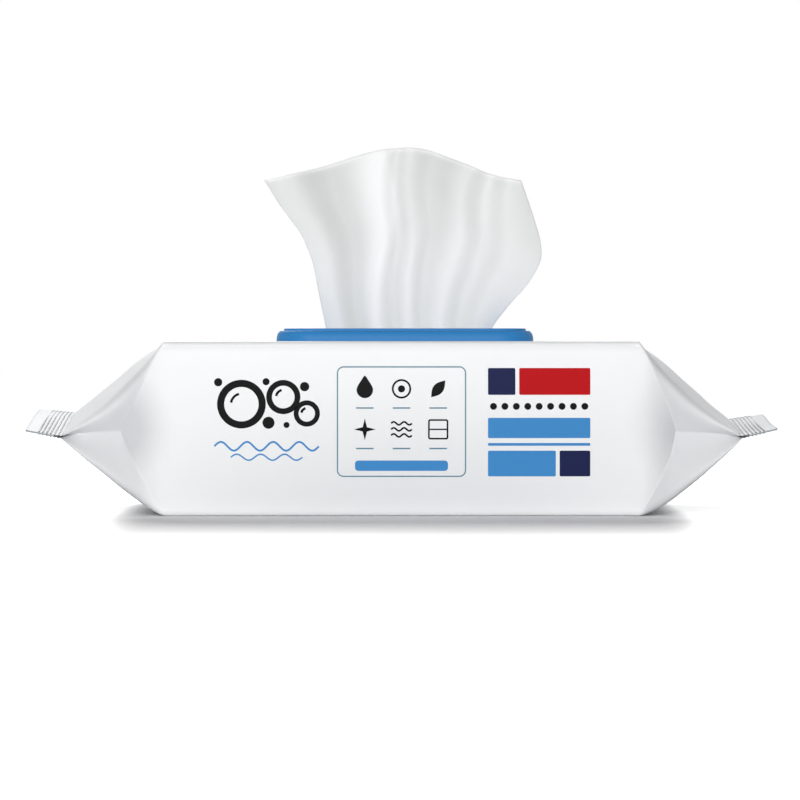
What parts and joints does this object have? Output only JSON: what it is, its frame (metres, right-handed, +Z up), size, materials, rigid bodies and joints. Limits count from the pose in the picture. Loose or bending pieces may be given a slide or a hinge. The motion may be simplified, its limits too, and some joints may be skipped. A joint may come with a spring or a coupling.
{
  "type": "wet wipes pack",
  "caption": "Soft flow-wrapped pack of wet wipes with crimped end seals, a hinged flip-top lid folded open and a wipe standing up through the dispensing opening.",
  "frame": {"origin": "middle of the pack's flat base, on the surface that it stands on", "axes": "+X along the pack to the right as seen from the printed front panel, +Y from the front panel to the back panel where the lid's hinge is, +Z up"},
  "size_m": [0.275, 0.1492, 0.138],
  "materials": {
    "film": "satin white laminate film",
    "wipes": "soft moist nonwoven",
    "lid": "smooth moulded polypropylene"
  },
  "bodies": {
    "pack": {"film_pack": "film", "wipe_stack": "wipes", "pulled_wipe": "wipes", "lid_base": "lid"},
    "cover": {"lid_cover": "lid"}
  },
  "joints": [
    {"name": "cover_hinge", "type": "hinge", "parent": "pack", "child": "cover", "pos_m": [0.0013, 0.0304, 0.06805], "axis": [1, 0, 0], "range_deg": [0, 180], "deforming": ["pulled_wipe"]}
  ]
}
